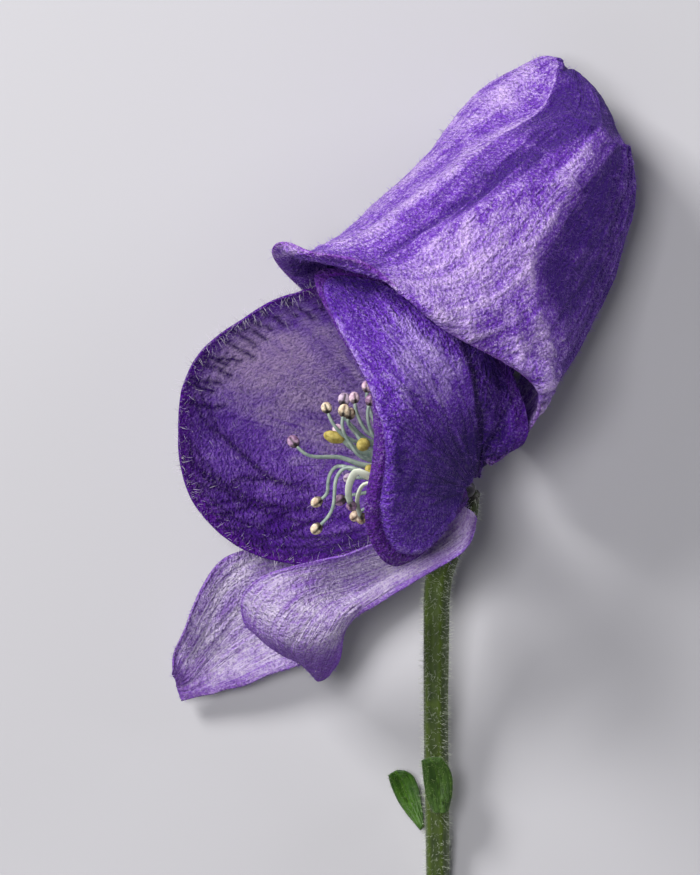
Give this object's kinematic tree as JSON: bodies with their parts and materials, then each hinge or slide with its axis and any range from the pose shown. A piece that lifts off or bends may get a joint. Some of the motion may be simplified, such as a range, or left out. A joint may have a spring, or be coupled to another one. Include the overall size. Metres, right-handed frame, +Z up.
{
  "type": "monkshood flower",
  "caption": "Picked monkshood flower lying on its side: a tall hooded sepal over cupped lateral sepals, stamens and nectaries inside, on a hairy stalk with small bracts.",
  "frame": {"origin": "middle of the underside of the flower's box, on the surface it lies on", "axes": "+Z up from the surface; +Y along the stalk from its cut end towards the hood; the mouth opens towards -X"},
  "size_m": [0.0326, 0.06, 0.0235],
  "materials": {
    "hood_violet": "velvety, finely wrinkled violet petal tissue",
    "lateral_violet": "velvety violet petal tissue with dark veins and a purple rim",
    "lower_lilac": "velvety lilac petal tissue with a violet tip",
    "stalk_green": "fleshy green, covered in short pale hairs",
    "bract_green": "fleshy leaf green with a pale midrib",
    "disc_green": "matt yellow-green",
    "stamen": "grey-green filament, mauve-brown anther with pale pollen",
    "carpel_green": "matt lime green",
    "nectary_blue": "smooth pale blue-violet"
  },
  "bodies": {
    "root": {"hood": "hood_violet", "near_lateral_sepal": "lateral_violet", "far_lateral_sepal": "lateral_violet", "near_lower_sepal": "lower_lilac", "far_lower_sepal": "lower_lilac", "stalk": "stalk_green", "near_bract": "bract_green", "far_bract": "bract_green", "receptacle": "disc_green", "stamen_01": "stamen", "stamen_02": "stamen", "stamen_03": "stamen", "stamen_04": "stamen", "stamen_05": "stamen", "stamen_06": "stamen", "stamen_07": "stamen", "stamen_08": "stamen", "stamen_09": "stamen", "stamen_10": "stamen", "stamen_11": "stamen", "stamen_12": "stamen", "stamen_13": "stamen", "stamen_14": "stamen", "stamen_15": "stamen", "stamen_16": "stamen", "stamen_17": "stamen", "stamen_18": "stamen", "stamen_19": "stamen", "stamen_20": "stamen", "stamen_21": "stamen", "stamen_22": "stamen", "stamen_23": "stamen", "stamen_24": "stamen", "carpel_1": "carpel_green", "carpel_2": "carpel_green", "carpel_3": "carpel_green", "near_nectary": "nectary_blue", "far_nectary": "nectary_blue"}
  },
  "joints": []
}
